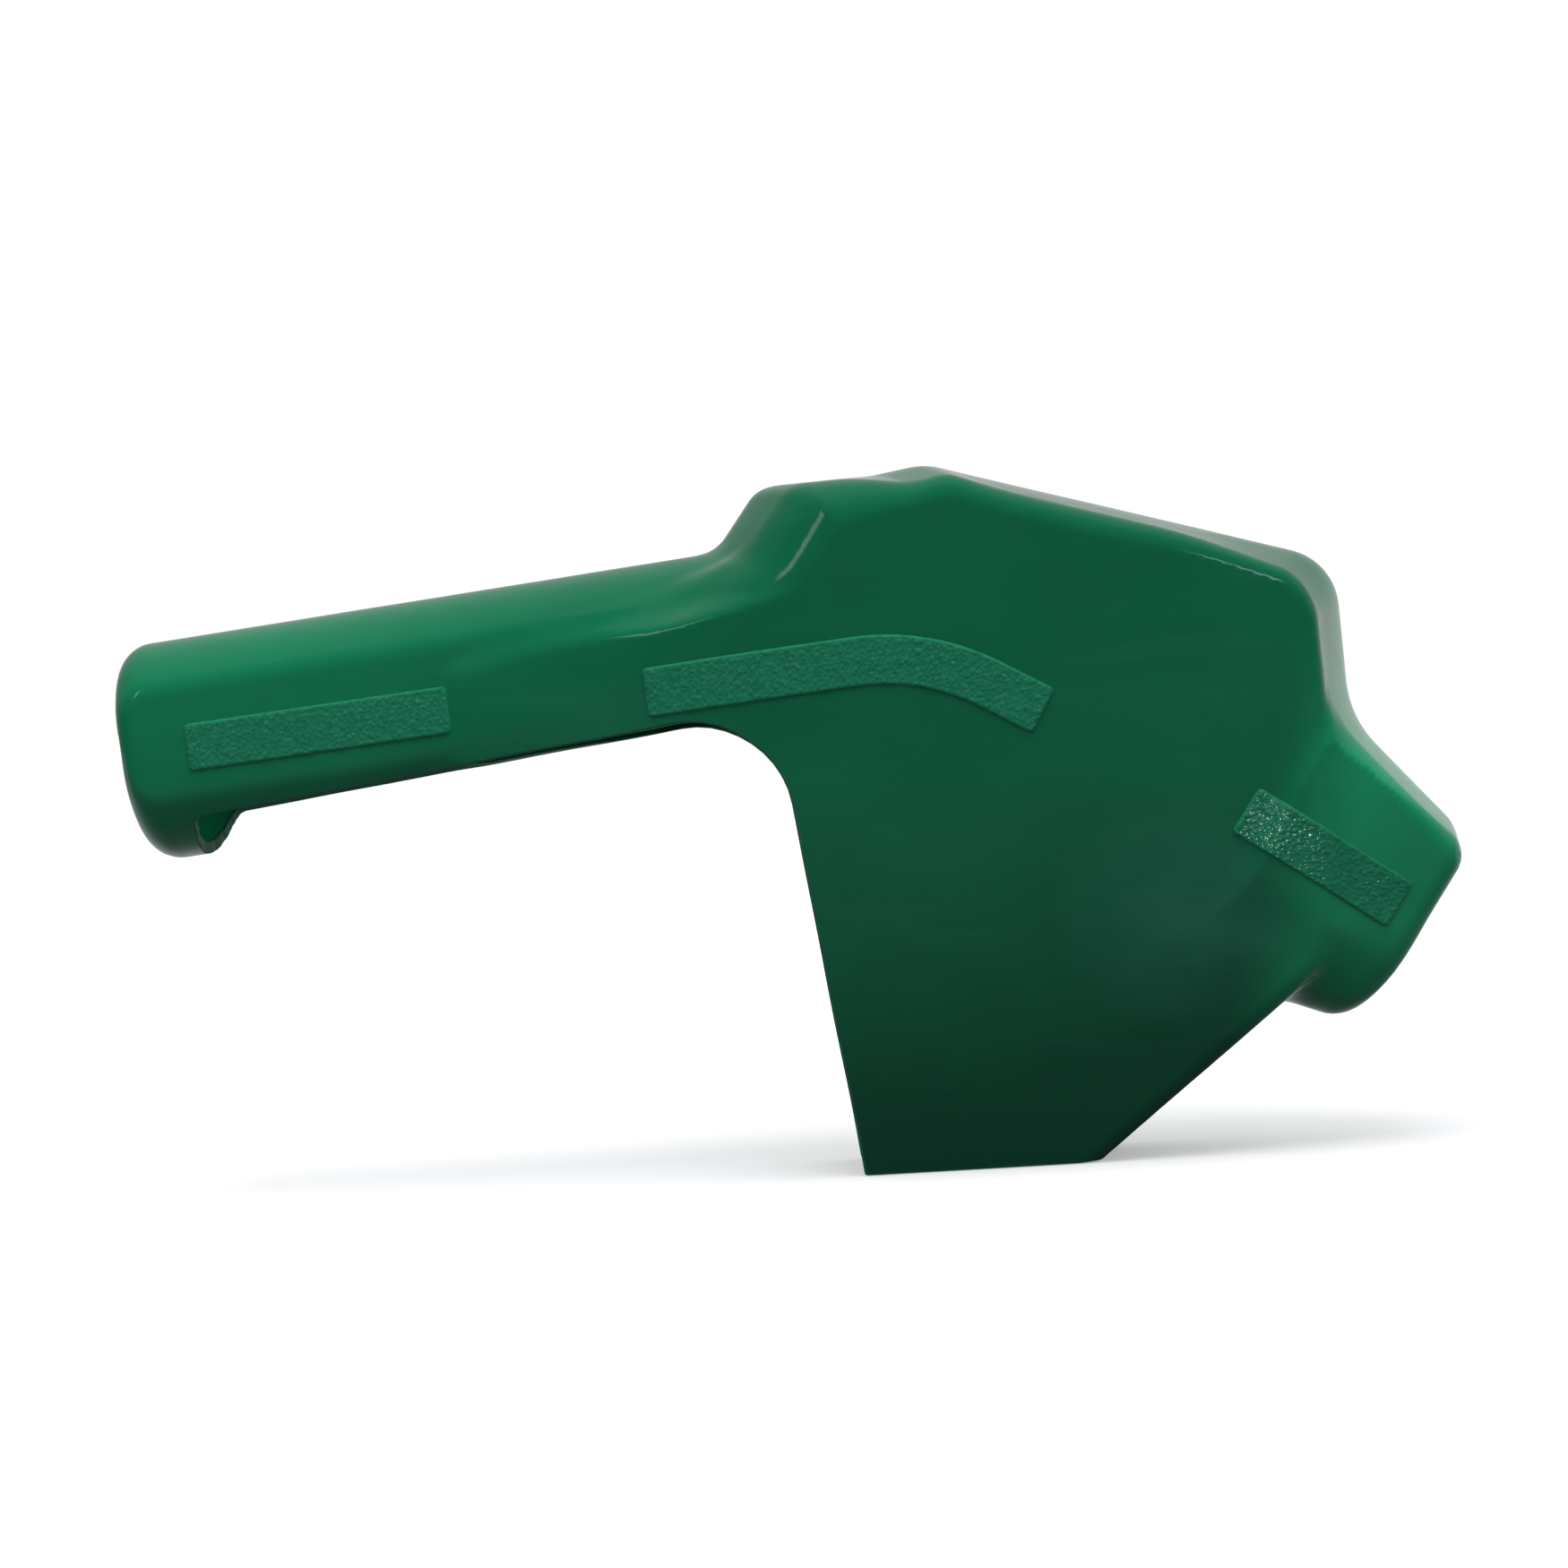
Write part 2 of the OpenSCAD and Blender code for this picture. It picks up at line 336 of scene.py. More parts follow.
def cut(p):
    """Negative where the skin has been cut away: slot, open rear, open bottom and the two end openings."""
    x, y, z = p[:, 0], np.abs(p[:, 1]), p[:, 2]
    s, h = along_grip(x, z)
    ragged = 0.10 * np.sin(y * 1.1 + x * 0.9) + 0.05 * np.sin(y * 2.7 + z * 2.1)
    end = SLOT_FROM + SLOT_SKEW * p[:, 1] + SLOT_LEAN * (h + GRIP_R) + ragged
    slot = np.maximum(round_max(end - s, h + side_drop(s) - 0.4, 1.5), s - 40)
    throat = throat_profile(x, z) + 0.12 * np.sin(x / 5.0) * np.sin(z / 7.0 + 1)
    bottom = z - SKIRT_Z
    hose = np.maximum(np.hypot(y, h) - hose_r, s - 6)
    c, t = math.cos(SPOUT_DROP), math.sin(SPOUT_DROP)
    out = (x - SPOUT_C[0]) * c - (z - SPOUT_C[1]) * t
    up = (x - SPOUT_C[0]) * t + (z - SPOUT_C[1]) * c
    spout = np.maximum(np.hypot(y, up) - spout_r, -6 - out)
    return np.minimum.reduce([slot, throat, bottom, hose, spout])


mounts = {m["name"]: m for m in record["mounts"]}
hose_r = mounts["hose_opening"]["dims"]["r_mm"]
spout_r = mounts["spout_opening"]["dims"]["r_mm"]


# ---------------------------------------------------------------- meshing
def surface_net(f, lo, hi, cell):
    """Quads of the surface f = 0 inside a box, one vertex in each grid cell that it crosses."""
    n = [int(math.ceil((b - a) / cell)) + 1 for a, b in zip(lo, hi)]
    axes = [a + cell * np.arange(k) for a, k in zip(lo, n)]
    values = np.empty(n, np.float32)
    gy, gz = np.meshgrid(axes[1], axes[2], indexing="ij")
    for i, x in enumerate(axes[0]):
        p = np.stack([np.full(gy.size, x), gy.ravel(), gz.ravel()], 1)
        values[i] = f(p).reshape(gy.shape)
    inside = values < 0
    total = np.zeros([k - 1 for k in n] + [3])
    count = np.zeros([k - 1 for k in n])
    quads = []
    for axis in range(3):
        a = [slice(None)] * 3
        b = [slice(None)] * 3
        a[axis], b[axis] = slice(0, -1), slice(1, None)
        va, vb = values[tuple(a)], values[tuple(b)]
        crossing = np.argwhere(inside[tuple(a)] != inside[tuple(b)])
        ca = va[tuple(crossing.T)].astype(float)
        cb = vb[tuple(crossing.T)].astype(float)
        point = crossing.astype(float)
        point[:, axis] += ca / (ca - cb)
        others = [k for k in range(3) if k != axis]
        ok = np.ones(len(crossing), bool)
        for k in others:
            ok &= (crossing[:, k] > 0) & (crossing[:, k] < n[k] - 1)
        crossing, point, ca = crossing[ok], point[ok], ca[ok]
        ring = []
        for du, dv in ((-1, -1), (0, -1), (0, 0), (-1, 0)):
            c = crossing.copy()
            c[:, others[0]] += du
            c[:, others[1]] += dv
            ring.append(c)
            np.add.at(total, tuple(c.T), point)
            np.add.at(count, tuple(c.T), 1)
        flip = (ca < 0) ^ (axis == 1)
        quads.append((np.stack(ring, 1), flip))
    used = np.argwhere(count > 0)
    index = np.full(count.shape, -1)
    index[tuple(used.T)] = np.arange(len(used))
    verts = total[tuple(used.T)] / count[tuple(used.T)][:, None] * cell + np.array(lo)
    faces = []
    for ring, flip in quads:
        q = index[ring[..., 0], ring[..., 1], ring[..., 2]]
        q[~flip] = q[~flip][:, ::-1]
        faces.append(q)
    return verts, np.concatenate(faces)


def onto(f, p, rounds=4):
    """Points p moved onto the surface f = 0 along its gradient."""
    for _ in range(rounds):
        g = gradient(f, p)
        p = p - g * (f(p) / np.maximum((g * g).sum(1), 1e-6))[:, None]
    return p


def trimmed(verts, faces, keep):
    """Triangles of the part of a mesh where keep(p) > 0, cut cleanly along keep = 0."""
    tris = np.concatenate([faces[:, [0, 1, 2]], faces[:, [0, 2, 3]]])
    v = keep(verts)
    v = np.where(np.abs(v) < 0.02, 0.02, v)
    up = v > 0
    whole = up[tris].all(1)
    part = tris[up[tris].any(1) & ~whole]
    # Turn each cut triangle so that it starts kept and ends cut away.
    for _ in range(2):
        turn = ~(up[part[:, 0]] & ~up[part[:, 2]])
        part[turn] = part[turn][:, [1, 2, 0]]
    edges = np.sort(np.concatenate([part[:, [0, 1]], part[:, [1, 2]], part[:, [2, 0]]]), axis=1)
    edges = np.unique(edges[up[edges[:, 0]] != up[edges[:, 1]]], axis=0)
    kept = np.where(up[edges[:, 0]], edges[:, 0], edges[:, 1])
    gone = edges.sum(1) - kept
    lo, hi = np.zeros(len(edges)), np.ones(len(edges))
    for _ in range(12):
        mid = (lo + hi) / 2
        inside = keep(verts[kept] + (verts[gone] - verts[kept]) * mid[:, None]) > 0
        lo, hi = np.where(inside, mid, lo), np.where(inside, hi, mid)
    new = verts[kept] + (verts[gone] - verts[kept]) * lo[:, None]
    code = edges[:, 0] * len(verts) + edges[:, 1]

    def crossing(a, b):
        pair = np.minimum(a, b) * len(verts) + np.maximum(a, b)
        return len(verts) + np.searchsorted(code, pair)

    a, b, c = part.T
    two = up[b]
    bc, ca = crossing(b[two], c[two]), crossing(c[two], a[two])
    ab, ca1 = crossing(a[~two], b[~two]), crossing(c[~two], a[~two])
    tris = np.concatenate([
        tris[whole],
        np.stack([a[two], b[two], bc], 1),
        np.stack([a[two], bc, ca], 1),
        np.stack([a[~two], ab, ca1], 1),
    ])
    used, inverse = np.unique(tris, return_inverse=True)
    return np.concatenate([verts, new])[used], inverse.reshape(-1, 3)


def border(tris):
    """Directed edges that belong to one triangle only."""
    edges = np.concatenate([tris[:, [0, 1]], tris[:, [1, 2]], tris[:, [2, 0]]])
    top = tris.max() + 1
    there = edges[:, 0] * top + edges[:, 1]
    back = edges[:, 1] * top + edges[:, 0]
    return edges[~np.isin(there, back)]


def guard_mesh():
    """The guard's skins, outer and inner, and the cut edges between them, as vertices, faces and normals."""
    verts, quads = surface_net(skin, *SKIN_BOX, CELL)
    verts = onto(skin, verts)
    verts, tris = trimmed(verts, quads, lambda p: cut(p) - LIP)
    normal = unit(gradient(skin, verts))
    inner = verts - normal * WALL
    edge = border(tris)
    rim, where = np.unique(edge, return_inverse=True)
    where = where.reshape(-1, 2)
    n = normal[rim]
    g = gradient(cut, verts[rim])
    t = -unit(g - n * (g * n).sum(1, keepdims=True))
    rows, row_normals = [], []
    for angle in (30, 60, 90):
        c, s = math.cos(math.radians(angle)), math.sin(math.radians(angle))
        rows.append(verts[rim] + LIP * (t * s + n * (c - 1)))
        row_normals.append(n * c + t * s)
    for angle in (90, 120, 150):
        c, s = math.cos(math.radians(angle)), math.sin(math.radians(angle))
        rows.append(verts[rim] + LIP * t * s - n * (WALL - LIP * (1 + c)))
        row_normals.append(n * c + t * s)
    skins = tris.tolist() + (tris[:, ::-1] + len(verts)).tolist()
    rows = [verts[rim]] + rows + [inner[rim]]
    row_normals = [n] + row_normals + [-n]
    a, b = where.T
    edges = []
    for k in range(len(rows) - 1):
        near, far = k * len(rim), (k + 1) * len(rim)
        edges += np.stack([b + near, a + near, a + far, b + far], 1).tolist()
    return (
        (np.concatenate([verts, inner]), skins, np.concatenate([normal, -normal])),
        (np.concatenate(rows), edges, np.concatenate(row_normals)),
    )


# ---------------------------------------------------------------- pebbled strips
STRIP_RISE = 0.45               # height of a strip above the skin
STRIP_SINK = 0.25               # depth of its outer edge under the skin
STRIP_CORNER = 1.2              # corner radius of its outline
GRAIN = (1.12, 0.92)            # size of a pebble, along and across the strip
GRAIN_DEPTH = 0.28


def straight(a, b):
    """Centre line of a straight strip from a to b: length, and the point and direction at a length."""
    a, b = np.array(a), np.array(b)
    length = np.linalg.norm(b - a)
    d = (b - a) / length
    return length, lambda s: (a + s[..., None] * d, np.broadcast_to(d, s.shape + (2,)))


def bent(centre, radius, start, end, head, tail):
    """Centre line that runs straight, bends round an arc from start to end degrees, and runs straight."""
    a0, a1 = math.radians(start), math.radians(end)
    arc = radius * abs(a1 - a0)
    turn = math.copysign(1, a1 - a0)

    def at(s):
        on = np.clip((s - head) / arc, 0, 1)
        a = a0 + (a1 - a0) * on
        radial = np.stack([np.cos(a), np.sin(a)], -1)
        d = turn * np.stack([-np.sin(a), np.cos(a)], -1)
        beyond = np.minimum(s - head, 0) + np.maximum(s - head - arc, 0)
        return np.array(centre) + radius * radial + d * beyond[..., None], d

    return head + arc + tail, at


STRIPS = {
    "grip_strip": (straight((14.5, 0.4), (69.0, 5.2)), 10.2),
    "flank_strip": (bent((156.0, -36.0), 46.0, 95.0, 60.0, 43.0, 12.5), 10.5),
    "collar_strip": (straight((229.2, -24.4), (260.7, -46.1)), 11.0),
}


def pebbles(u, v, rng):
    """Heights of a pebble grain at (u, v) in cells: 1 on the pebbles, 0 in the grooves between them."""
    nu, nv = int(u.max()) + 4, int(v.max() - v.min()) + 5
    jitter = 0.5 + 0.92 * (rng.random((nu, nv, 2)) - 0.5)
    tall = 0.55 + 0.45 * rng.random((nu, nv))
    u, v = u + 1.5, v - v.min() + 1.5
    iu, iv = u.astype(int), v.astype(int)
    first = np.full(u.shape, 9.0)
    second = np.full(u.shape, 9.0)
    height = np.zeros(u.shape)
    for du in (-1, 0, 1):
        for dv in (-1, 0, 1):
            ju, jv = np.clip(iu + du, 0, nu - 1), np.clip(iv + dv, 0, nv - 1)
            d = np.hypot(ju + jitter[ju, jv, 0] - u, jv + jitter[ju, jv, 1] - v)
            nearer = d < first
            second = np.where(nearer, first, np.minimum(second, d))
            height = np.where(nearer, tall[ju, jv], height)
            first = np.where(nearer, d, first)
    gap = np.clip((second - first) / 0.42, 0, 1)
    return height * np.sqrt(gap * (2 - gap)) * (1 - 0.9 * first * first)


def strip_mesh(line, width, side, rng, step=0.27):
    length, at = line
    nu, nv = int(length / step) + 1, int(width / step) + 1
    u, v = np.meshgrid(np.linspace(0, length, nu), np.linspace(-width / 2, width / 2, nv), indexing="ij")
    centre, d = at(u)
    x = centre[..., 0] - d[..., 1] * v
    z = centre[..., 1] + d[..., 0] * v
    p = np.stack([x.ravel(), np.full(x.size, side * (BODY_HALF + 2)), z.ravel()], 1)
    e = np.array([0, 0.2, 0])
    for _ in range(12):
        slope = (skin(p + e) - skin(p - e)) / 0.4
        p[:, 1] -= skin(p) / (side * np.maximum(side * slope, 0.35))
    normal = unit(gradient(skin, p))
    qu = np.abs(u - length / 2) - length / 2 + STRIP_CORNER
    qv = np.abs(v) - width / 2 + STRIP_CORNER
    inside = STRIP_CORNER - np.hypot(np.maximum(qu, 0), np.maximum(qv, 0)) - np.minimum(np.maximum(qu, qv), 0)
    edge = smoothstep(0.0, 0.42, inside)
    rise = -STRIP_SINK + (STRIP_RISE + STRIP_SINK) * edge
    grain = pebbles(u / GRAIN[0], v / GRAIN[1], rng) * smoothstep(0.15, 0.6, inside)
    rise = rise + GRAIN_DEPTH * (grain - 0.4) * edge
    p = p + normal * rise.ravel()[:, None]
    grid = p.reshape(nu, nv, 3)
    du, dv = np.gradient(grid, axis=0), np.gradient(grid, axis=1)
    n = unit(np.cross(du, dv).reshape(-1, 3))
    outward = np.sign((n * normal).sum(1).mean())
    index = np.arange(nu * nv).reshape(nu, nv)
    quads = np.stack([index[:-1, :-1], index[1:, :-1], index[1:, 1:], index[:-1, 1:]], -1).reshape(-1, 4)
    if outward < 0:
        quads = quads[:, ::-1]
    return p, quads.tolist(), n * outward


# ---------------------------------------------------------------- materials
def nodes_of(material):
    material.use_nodes = True
    tree = material.node_tree
    tree.nodes.clear()
    return tree


def link(tree, out, into):
    tree.links.new(out, into)


def noise(tree, vector, scale, detail=2.0, roughness=0.5, distortion=0.0):
    node = tree.nodes.new("ShaderNodeTexNoise")
    node.inputs["Scale"].default_value = scale
    node.inputs["Detail"].default_value = detail
    node.inputs["Roughness"].default_value = roughness
    node.inputs["Distortion"].default_value = distortion
    link(tree, vector, node.inputs["Vector"])
    return node.outputs["Fac"]


def mapped(tree, vector, scale=(1, 1, 1), rotation=(0, 0, 0)):
    node = tree.nodes.new("ShaderNodeMapping")
    node.inputs["Scale"].default_value = scale
    node.inputs["Rotation"].default_value = rotation
    link(tree, vector, node.inputs["Vector"])
    return node.outputs["Vector"]


def ranged(tree, value, a, b, c, d):
    node = tree.nodes.new("ShaderNodeMapRange")
    for name, number in zip(("From Min", "From Max", "To Min", "To Max"), (a, b, c, d)):
        node.inputs[name].default_value = number
    link(tree, value, node.inputs["Value"])
    return node.outputs["Result"]


def bumped(tree, height, strength, distance, under=None):
    node = tree.nodes.new("ShaderNodeBump")
    node.inputs["Strength"].default_value = strength
    node.inputs["Distance"].default_value = distance
    link(tree, height, node.inputs["Height"])
    if under is not None:
        link(tree, under, node.inputs["Normal"])
    return node.outputs["Normal"]


def blended(tree, factor, low, high):
    node = tree.nodes.new("ShaderNodeMix")
    node.data_type = "RGBA"
    node.inputs["A"].default_value = (*low, 1)
    node.inputs["B"].default_value = (*high, 1)
    link(tree, factor, node.inputs["Factor"])
    return node.outputs["Result"]


def combined(tree, operation, *values):
    node = tree.nodes.new("ShaderNodeMath")
    node.operation = operation
    for value, into in zip(values, node.inputs):
        link(tree, value, into)
    return node.outputs[0]


def components(tree, vector):
    node = tree.nodes.new("ShaderNodeSeparateXYZ")
    link(tree, vector, node.inputs["Vector"])
    return node.outputs


def distance_from(tree, vector, point):
    node = tree.nodes.new("ShaderNodeVectorMath")
    node.operation = "DISTANCE"
    node.inputs[1].default_value = point
    link(tree, vector, node.inputs[0])
    return node.outputs["Value"]


def finished(tree, shader_output):
    out = tree.nodes.new("ShaderNodeOutputMaterial")
    link(tree, shader_output, out.inputs["Surface"])


def painted_light_and_shade(tree, where):
    """The vinyl's tone as painted light and shade, from 0, darkest, along the skirt, to 1, lightest, on the
    collar: the grip and collar are painted lighter, the skirt darker towards its foot.
    """
    parts = components(tree, where)

    def towards(*direction):
        node = tree.nodes.new("ShaderNodeVectorMath")
        node.operation = "DOT_PRODUCT"
        node.inputs[1].default_value = direction
        link(tree, where, node.inputs[0])
        return node.outputs["Value"]

    def eased(value, a, b, c, d):
        result = ranged(tree, value, a, b, c, d)
        result.node.interpolation_type = "SMOOTHSTEP"
        return result

    # Painted light on the grip and collar, painted shade down the skirt, at its rear foot and below the
    # waist.
    grip = eased(parts["X"], 0.01, 0.15, 0.41, 0.245)
    skirt = eased(towards(-0.2, 0, 1), -0.122, -0.066, -0.195, 0.0)
    foot = eased(towards(-0.9, 0, 1), -0.285, -0.245, -0.10, 0.0)
    waist = eased(parts["Z"], -0.030, 0.020, -0.04, 0.0)
    collar = eased(towards(1, 0, -0.25), 0.238, 0.262, 0.0, 0.68)
    upper = combined(tree, "ADD", grip, waist)
    lower = combined(tree, "ADD", skirt, foot)
    return combined(tree, "ADD", upper, combined(tree, "ADD", lower, collar))


VINYL_IOR = 1.5
SHEEN_SPOT_AT = (0.2136, -0.0275, -0.0446)   # middle of a painted soft bluish reflection on the skirt, in metres
SHEEN_SPOT_REACH = (0.006, 0.026)            # distances over which it fades away


def vinyl_material():
    material = bpy.data.materials.new("vinyl")
    tree = nodes_of(material)
    where = tree.nodes.new("ShaderNodeTexCoord").outputs["Object"]
    shader = tree.nodes.new("ShaderNodeBsdfPrincipled")
    shader.inputs["IOR"].default_value = VINYL_IOR
    cloud = noise(tree, where, 28.0, 3.0, 0.55)
    mottle = ranged(tree, cloud, 0.3, 0.7, -0.035, 0.035)
    # Painted light and shade, plus a random mottle of the vinyl's own tone, blended between a deep and a
    # clear green.
    shade_and_mottle = combined(tree, "ADD", painted_light_and_shade(tree, where), mottle)
    shaded_and_mottled = blended(tree, shade_and_mottle, (0.0030, 0.084, 0.040), (0.0132, 0.414, 0.179))
    haze = noise(tree, where, 90.0, 4.0, 0.6)
    runs = noise(tree, mapped(tree, where, (14, 14, 70)), 1.0, 3.0, 0.6, 0.6)
    # Painted sheen: a pale bluish reflection tinted into the colour over a soft spot of the skirt, and along
    # the flow marks.
    painted_sheen = tree.nodes.new("ShaderNodeMix")
    painted_sheen.data_type = "RGBA"
    painted_sheen.inputs["B"].default_value = (0.042, 0.225, 0.170, 1)
    link(tree, shaded_and_mottled, painted_sheen.inputs["A"])
    flow_marks_and_sheen = ranged(tree, runs, 0.56, 0.74, 0.0, 0.16)
    painted_reflection_spot = ranged(tree, distance_from(tree, where, SHEEN_SPOT_AT), *SHEEN_SPOT_REACH, 0.50, 0.0)
    link(tree, combined(tree, "MULTIPLY_ADD", painted_reflection_spot, haze, flow_marks_and_sheen), painted_sheen.inputs["Factor"])
    link(tree, painted_sheen.outputs["Result"], shader.inputs["Base Color"])
    link(tree, ranged(tree, haze, 0.3, 0.75, 0.05, 0.13), shader.inputs["Roughness"])
    slow = noise(tree, mapped(tree, where, (1, 1, 1.6)), 42.0, 2.0, 0.5, 0.4)
    fine = noise(tree, where, 900.0, 2.0, 0.5)
    normal = bumped(tree, slow, 0.35, 0.0006)
    normal = bumped(tree, runs, 0.30, 0.0004, normal)
    normal = bumped(tree, fine, 0.12, 0.00008, normal)
    link(tree, normal, shader.inputs["Normal"])
    finished(tree, shader.outputs["BSDF"])
    return material


def cut_material():
    """Vinyl where a blade went through it: paler and dull, with fine drag lines."""
    material = bpy.data.materials.new("cut_vinyl")
    tree = nodes_of(material)
    where = tree.nodes.new("ShaderNodeTexCoord").outputs["Object"]
    shader = tree.nodes.new("ShaderNodeBsdfPrincipled")
    shader.inputs["IOR"].default_value = VINYL_IOR
    shader.inputs["Specular IOR Level"].default_value = 0.25
    drag = noise(tree, mapped(tree, where, (1, 1, 0.3)), 1500.0, 2.0, 0.5)
    link(tree, blended(tree, drag, (0.010, 0.110, 0.052), (0.030, 0.230, 0.120)), shader.inputs["Base Color"])
    link(tree, ranged(tree, drag, 0.3, 0.7, 0.45, 0.7), shader.inputs["Roughness"])
    link(tree, bumped(tree, drag, 0.5, 0.0001), shader.inputs["Normal"])
    finished(tree, shader.outputs["BSDF"])
    return material


def pebbled_material():
    material = bpy.data.materials.new("pebbled_vinyl")
    tree = nodes_of(material)
    where = tree.nodes.new("ShaderNodeTexCoord").outputs["Object"]
    shader = tree.nodes.new("ShaderNodeBsdfPrincipled")
    shader.inputs["IOR"].default_value = VINYL_IOR
    speckle = noise(tree, where, 700.0, 3.0, 0.6)
    spread = ranged(tree, speckle, 0.35, 0.7, 0, 1)
    tint = blended(tree, spread, (0.010, 0.225, 0.110), (0.020, 0.275, 0.145))
    link(tree, tint, shader.inputs["Base Color"])
    link(tree, ranged(tree, speckle, 0.3, 0.7, 0.11, 0.20), shader.inputs["Roughness"])
    fine = noise(tree, where, 3200.0, 2.0, 0.5)
    link(tree, bumped(tree, fine, 0.35, 0.00006), shader.inputs["Normal"])
    finished(tree, shader.outputs["BSDF"])
    return material


def pale_material():
    """White for the camera, and dull for the light that it would throw back at the guard."""
    material = bpy.data.materials.new("pale_floor")
    tree = nodes_of(material)
    where = tree.nodes.new("ShaderNodeTexCoord").outputs["Object"]
    soft = noise(tree, where, 3.0, 2.0, 0.5)
    white = tree.nodes.new("ShaderNodeBsdfPrincipled")
    white.inputs["Roughness"].default_value = 0.9
    white.inputs["Specular IOR Level"].default_value = 0.0
    white.inputs["Emission Color"].default_value = (1, 1, 1, 1)
    away = distance_from(tree, where, (0.14, 0.0, cad_bounds[0][2]))
    link(tree, ranged(tree, away, 0.15, 0.9, 0.34, 0.8), white.inputs["Emission Strength"])
    link(tree, blended(tree, soft, (0.86, 0.86, 0.865), (0.88, 0.88, 0.885)), white.inputs["Base Color"])
    dull = tree.nodes.new("ShaderNodeBsdfDiffuse")
    beyond = ranged(tree, components(tree, where)["Y"], -0.02, 0.10, 0, 1)
    link(tree, blended(tree, beyond, (0.10, 0.105, 0.11), (0.55, 0.56, 0.58)), dull.inputs["Color"])
    path = tree.nodes.new("ShaderNodeLightPath")
    mix = tree.nodes.new("ShaderNodeMixShader")
    link(tree, path.outputs["Is Camera Ray"], mix.inputs[0])
    link(tree, dull.outputs[0], mix.inputs[1])
    link(tree, white.outputs[0], mix.inputs[2])
    finished(tree, mix.outputs[0])
    return material


# ---------------------------------------------------------------- pieces
def piece(name, built, material, node):
    verts, faces, normals = built
    mesh = bpy.data.meshes.new(name)
    mesh.from_pydata((verts * MM).tolist(), [], faces)
    mesh.polygons.foreach_set("use_smooth", np.ones(len(mesh.polygons), bool))
    mesh.normals_split_custom_set_from_vertices(unit(normals).tolist())
    mesh.materials.append(material)
    obj = bpy.data.objects.new(name, mesh)
    bpy.context.scene.collection.objects.link(obj)
    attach(obj, "root")
    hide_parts(node)
    return obj


vinyl = vinyl_material()
pebbled = pebbled_material()
skins, cut_edges = guard_mesh()
piece("moulded_skin", skins, vinyl, "guard_body")
piece("cut_edges", cut_edges, cut_material(), "guard_body")
for k, (name, (line, width)) in enumerate(STRIPS.items()):
    for side, hand in ((-1, "left"), (1, "right")):
        rng = np.random.default_rng(11 + k)
        built = strip_mesh(line, width, side, rng)
        piece(f"{name}_{hand}_grain", built, pebbled, f"{name}_{hand}")


# ---------------------------------------------------------------- studio
def card(name, size, place, facing, power, colour=(1, 1, 1)):
    """A soft area light of size (w, h) metres at place, turned towards facing."""
    data = bpy.data.lights.new(name, "AREA")
    data.shape = "RECTANGLE"
    data.size, data.size_y = size
    data.energy = power
    data.color = colour
    obj = bpy.data.objects.new(name, data)
    bpy.context.scene.collection.objects.link(obj)
    obj.location = place
    obj.rotation_euler = (Vector(facing) - Vector(place)).to_track_quat("-Z", "Y").to_euler()
    return obj


TENT = (0.10, 0.85)             # brightness of the soft light from straight below and from straight above


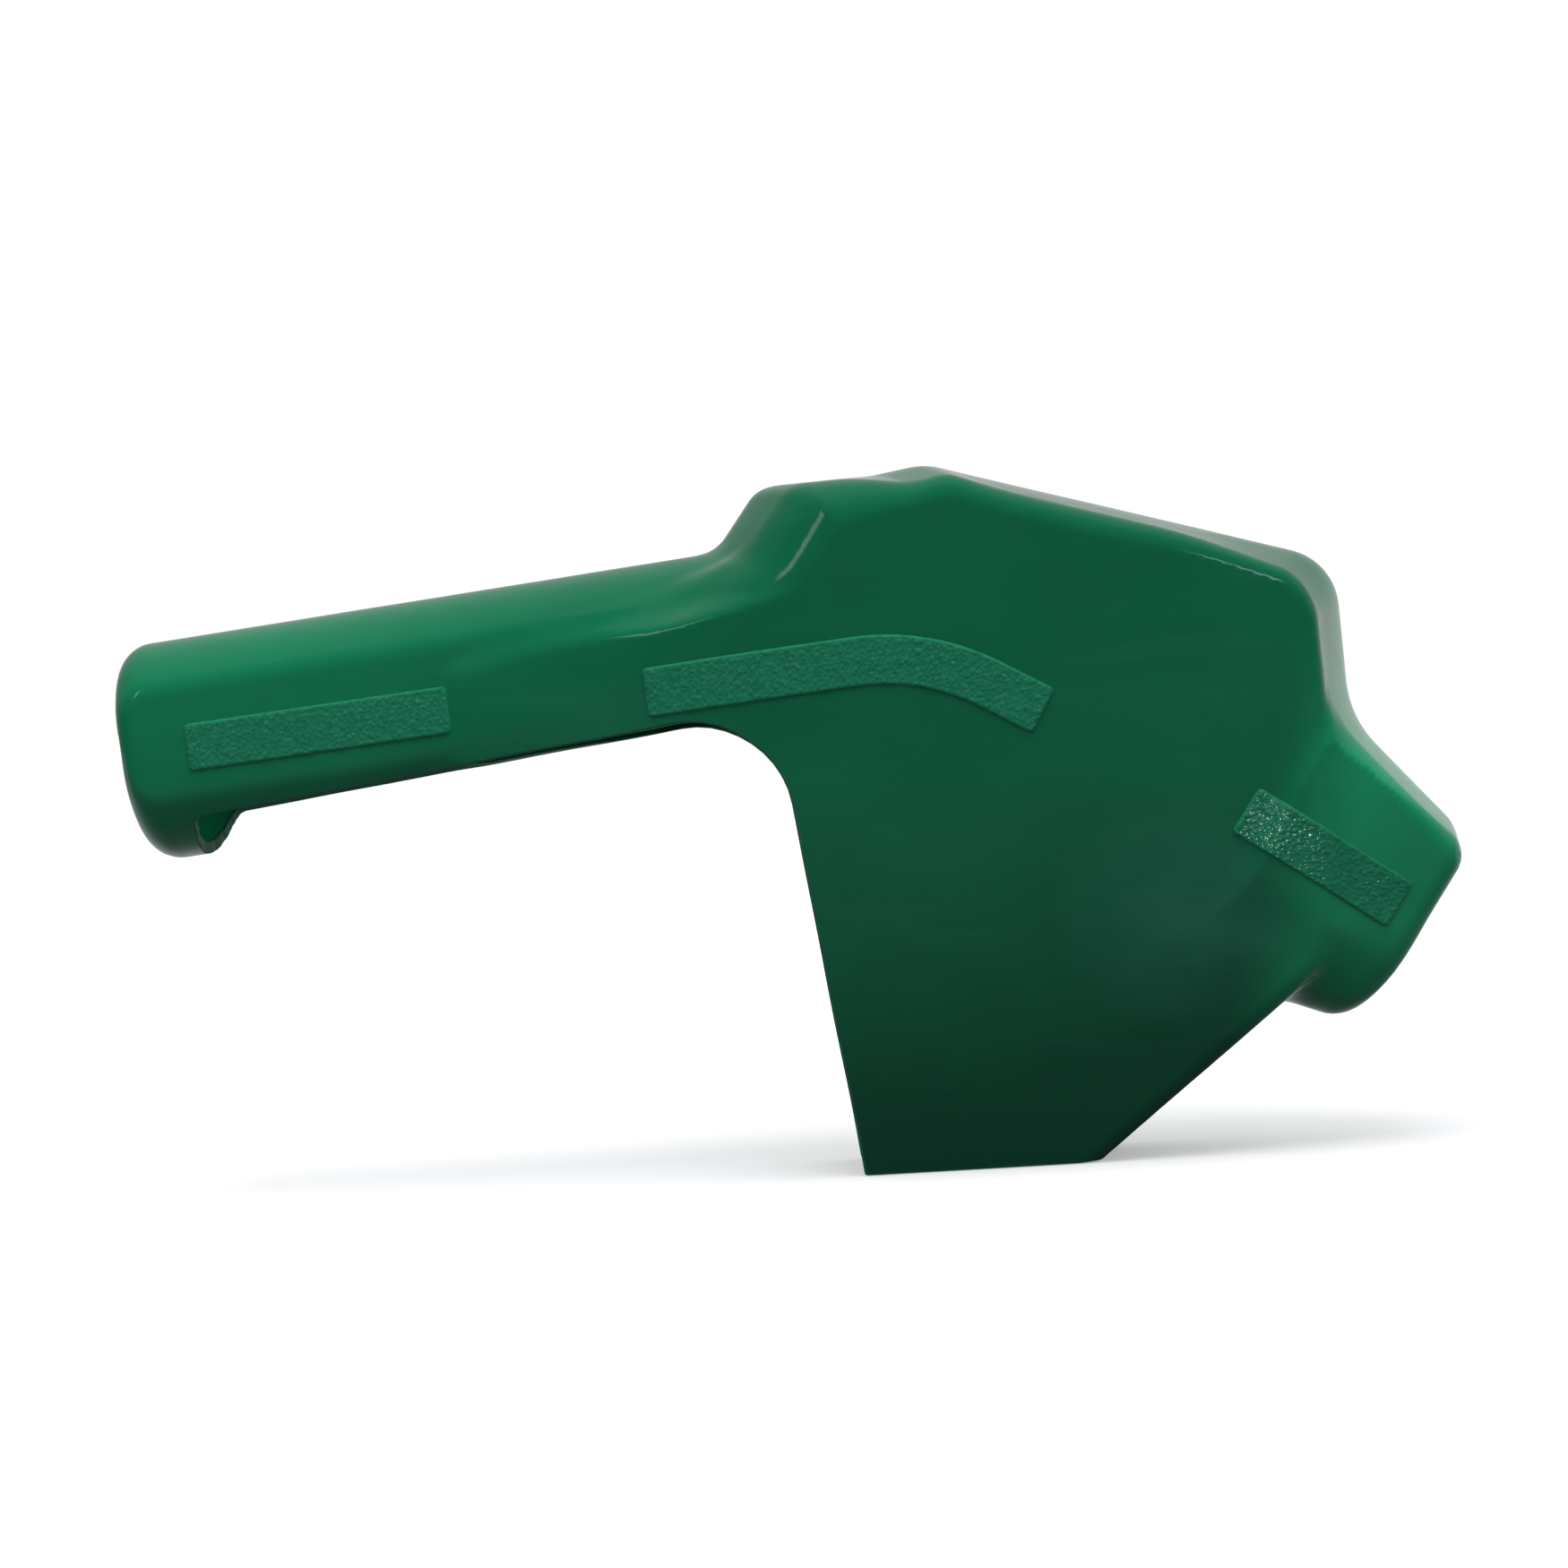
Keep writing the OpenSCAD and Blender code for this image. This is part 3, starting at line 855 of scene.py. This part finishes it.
def studio_world():
    """Soft light from all round, and for reflections a room: dark in front, pale above and beyond."""
    world = bpy.data.worlds.new("studio")
    bpy.context.scene.world = world
    tree = nodes_of(world)
    where = tree.nodes.new("ShaderNodeTexCoord").outputs["Generated"]
    parts = components(tree, where)

    def levels(value, low, high, stops):
        """A brightness that follows value through the given (value, brightness) stops."""
        ramp = tree.nodes.new("ShaderNodeValToRGB")
        link(tree, ranged(tree, value, low, high, 0, 1), ramp.inputs["Fac"])
        points = ramp.color_ramp.elements
        while len(points) < len(stops):
            points.new(0.5)
        for point, (at, level) in zip(points, stops):
            point.position = (at - low) / (high - low)
            point.color = (level, level, level, 1)
        return ramp.outputs["Color"]

    above = levels(parts["Y"], -1, 1, [(-0.26, 0.04), (-0.2, 0.18), (0.1, 0.27), (0.3, 0.33), (0.6, 0.42)])
    beside = levels(parts["Y"], -1, 1, [(-0.3, 0.04), (0.1, 0.08), (0.3, 0.40), (0.7, 0.90)])
    room = tree.nodes.new("ShaderNodeMix")
    room.data_type = "RGBA"
    link(tree, ranged(tree, parts["Z"], -0.15, 0.35, 0, 1), room.inputs["Factor"])
    link(tree, beside, room.inputs["A"])
    link(tree, above, room.inputs["B"])
    mirrored = tree.nodes.new("ShaderNodeBackground")
    link(tree, room.outputs["Result"], mirrored.inputs["Color"])
    link(tree, ranged(tree, parts["X"], -0.75, -0.2, 0.42, 1.0), mirrored.inputs["Strength"])
    soft = tree.nodes.new("ShaderNodeBackground")
    soft.inputs["Color"].default_value = (0.97, 0.98, 1.0, 1)
    link(tree, ranged(tree, parts["Z"], -1, 1, *TENT), soft.inputs["Strength"])
    plain = tree.nodes.new("ShaderNodeBackground")
    plain.inputs["Color"].default_value = (1, 1, 1, 1)
    plain.inputs["Strength"].default_value = 1.05
    path = tree.nodes.new("ShaderNodeLightPath")
    light = tree.nodes.new("ShaderNodeMixShader")
    link(tree, path.outputs["Is Glossy Ray"], light.inputs[0])
    link(tree, soft.outputs[0], light.inputs[1])
    link(tree, mirrored.outputs[0], light.inputs[2])
    mix = tree.nodes.new("ShaderNodeMixShader")
    link(tree, path.outputs["Is Camera Ray"], mix.inputs[0])
    link(tree, light.outputs[0], mix.inputs[1])
    link(tree, plain.outputs[0], mix.inputs[2])
    out = tree.nodes.new("ShaderNodeOutputWorld")
    link(tree, mix.outputs[0], out.inputs["Surface"])


def floor_piece(z):
    mesh = bpy.data.meshes.new("floor")
    reach = 6.0
    corners = [(-reach, -reach, z), (reach, -reach, z), (reach, reach, z), (-reach, reach, z)]
    mesh.from_pydata(corners, [], [(0, 1, 2, 3)])
    obj = bpy.data.objects.new("floor", mesh)
    bpy.context.scene.collection.objects.link(obj)
    mesh.materials.append(pale_material())


LENS = 64.97                    # millimetres, for a sensor 36 mm wide
ROLL = math.radians(3.3)
EYE = (0.1365, -0.600, -0.01393)


def camera():
    """Level with the guard's middle, square to its left side, rolled so that its base rises to the right."""
    data = bpy.data.cameras.new("camera")
    data.sensor_width = 36.0
    data.lens = LENS
    obj = bpy.data.objects.new("camera", data)
    bpy.context.scene.collection.objects.link(obj)
    c, s = math.cos(ROLL), math.sin(ROLL)
    obj.matrix_world = Matrix(((c, s, 0, EYE[0]), (0, 0, -1, EYE[1]), (-s, c, 0, EYE[2]), (0, 0, 0, 1)))
    data.clip_start, data.clip_end = 0.01, 50
    bpy.context.scene.camera = obj


camera()
studio_world()
floor_piece(cad_bounds[0][2])
key = card("key_above", (0.6, 0.5), (0.16, -0.25, 0.72), (0.14, 0.0, 0.0), 3.0)
key.visible_glossy = False
card("window", (0.12, 0.12), (0.50, -0.72, 0.34), (0.20, 0.0, 0.0), 0.19, (0.72, 0.88, 1.0))
card("lamp", (0.08, 0.22), (-0.30, -0.60, 0.46), (0.14, 0.0, 0.04), 0.12, (0.85, 0.93, 1.0))

# A small bright lamp that only the pebbles of the near collar strip mirror.
on_strip = (0.236, -0.028, -0.034)
glint = card("glint", (0.035, 0.035), (0.210, -0.755, -0.100), on_strip, 2.0, (0.85, 0.93, 1.0))
glint.visible_diffuse = False
lit_by_glint = bpy.data.collections.new("lit_by_glint")
lit_by_glint.objects.link(bpy.data.objects["collar_strip_left_grain"])
glint.light_linking.receiver_collection = lit_by_glint

bpy.context.scene.view_settings.view_transform = "Standard"
